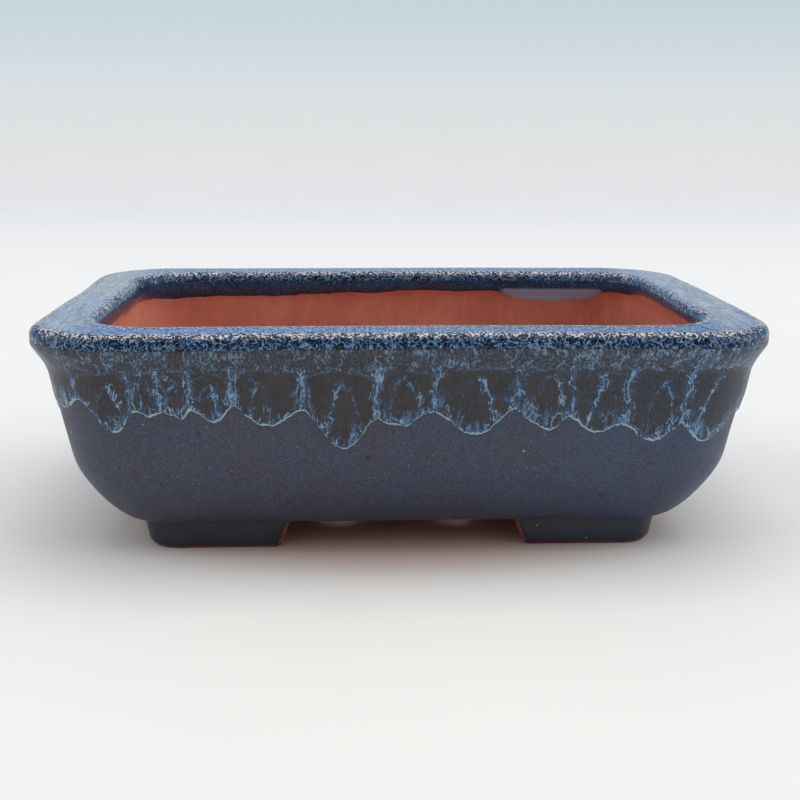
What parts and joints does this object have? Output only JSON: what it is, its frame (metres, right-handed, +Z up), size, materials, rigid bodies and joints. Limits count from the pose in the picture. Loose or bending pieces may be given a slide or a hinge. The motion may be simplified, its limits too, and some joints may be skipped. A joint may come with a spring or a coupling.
{
  "type": "bonsai pot",
  "caption": "Low rectangular glazed clay tray with rounded corners, a rolled lip and corner feet, drained through its floor, for growing a bonsai tree.",
  "frame": {"origin": "on the ground under the middle of the pot", "axes": "+X along the pot's length, +Y across it towards the back, +Z up"},
  "size_m": [0.165, 0.115, 0.0534],
  "materials": {
    "red_clay": "matte",
    "slate_blue_glaze": "satin",
    "run_glaze": "gloss",
    "rim_glaze": "gloss",
    "inner_glaze": "gloss",
    "foot_glaze": "gloss"
  },
  "bodies": {
    "root": {"wall_shell": "red_clay", "floor_slab": "red_clay", "foot_front_left": "red_clay", "foot_front_right": "red_clay", "foot_back_left": "red_clay", "foot_back_right": "red_clay", "base_glaze": "slate_blue_glaze", "drip_glaze": "run_glaze", "rim_glaze": "rim_glaze", "inner_glaze": "inner_glaze", "foot_glaze_front_left": "foot_glaze", "foot_glaze_front_right": "foot_glaze", "foot_glaze_back_left": "foot_glaze", "foot_glaze_back_right": "foot_glaze"}
  },
  "joints": []
}
